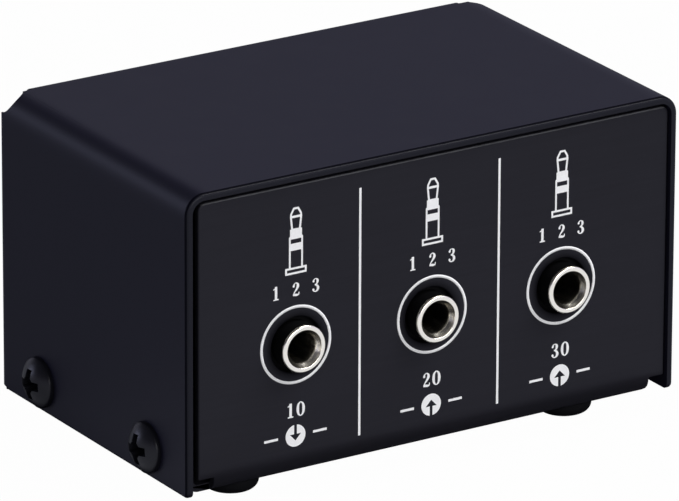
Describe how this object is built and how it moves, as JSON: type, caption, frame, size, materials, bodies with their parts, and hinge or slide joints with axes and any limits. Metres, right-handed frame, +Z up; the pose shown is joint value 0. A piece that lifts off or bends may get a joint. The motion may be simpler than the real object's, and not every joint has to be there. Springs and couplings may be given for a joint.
{
  "type": "audio source selector",
  "caption": "Small black folded-metal box with a row of 3.5 mm jacks on one end and a rotary knob on the other that picks which input reaches the output.",
  "frame": {"origin": "on the floor under the middle of the whole outline, from the jack noses to the knob and between the screw heads", "axes": "+Z up, the jack panel faces -Y, the control panel with the knob faces +Y, +X to the right when the jack panel is looked at"},
  "size_m": [0.0738, 0.0582, 0.0415],
  "materials": {
    "cover_coat": "fine powder coat, satin black",
    "panel_coat": "satin black with a fine level grain",
    "black_steel": "black oxide",
    "foot_rubber": "matt",
    "board_laminate": "solder mask",
    "spacer_brass": "turned",
    "plated_steel": "zinc plate",
    "jack_plastic": "moulded",
    "jack_nickel": "bright nickel plate",
    "contact_brass": "sprung strip",
    "bush_nickel": "nickel plate",
    "wafer_laminate": "paper laminate",
    "shaft_alloy": "turned",
    "knob_plastic": "moulded, satin",
    "pointer_paint": "white line"
  },
  "bodies": {
    "case": {"cover": "cover_coat", "chassis": "panel_coat", "cover_screws": "black_steel", "feet": "foot_rubber", "board": "board_laminate", "board_spacers": "spacer_brass", "board_screws": "plated_steel", "spacer_screws": "plated_steel", "jack_out_housing": "jack_plastic", "jack_out_nose": "jack_nickel", "jack_out_contacts": "contact_brass", "jack_in_1_housing": "jack_plastic", "jack_in_1_nose": "jack_nickel", "jack_in_1_contacts": "contact_brass", "jack_in_2_housing": "jack_plastic", "jack_in_2_nose": "jack_nickel", "jack_in_2_contacts": "contact_brass", "switch_can": "plated_steel", "switch_bush": "bush_nickel", "switch_washer": "bush_nickel", "switch_nut": "bush_nickel", "switch_wafer": "wafer_laminate", "switch_terminals": "contact_brass"},
    "selector": {"selector_shaft": "shaft_alloy", "selector_rotor": "jack_plastic", "selector_wiper": "contact_brass", "selector_clip": "plated_steel", "knob": "knob_plastic", "knob_pointer": "pointer_paint", "knob_set_screw": "black_steel"}
  },
  "joints": [
    {"name": "selector_turn", "type": "hinge", "parent": "case", "child": "selector", "pos_m": [0, 0.01698, 0.023], "axis": [0, -1, 0], "range_deg": [0, 60]}
  ]
}
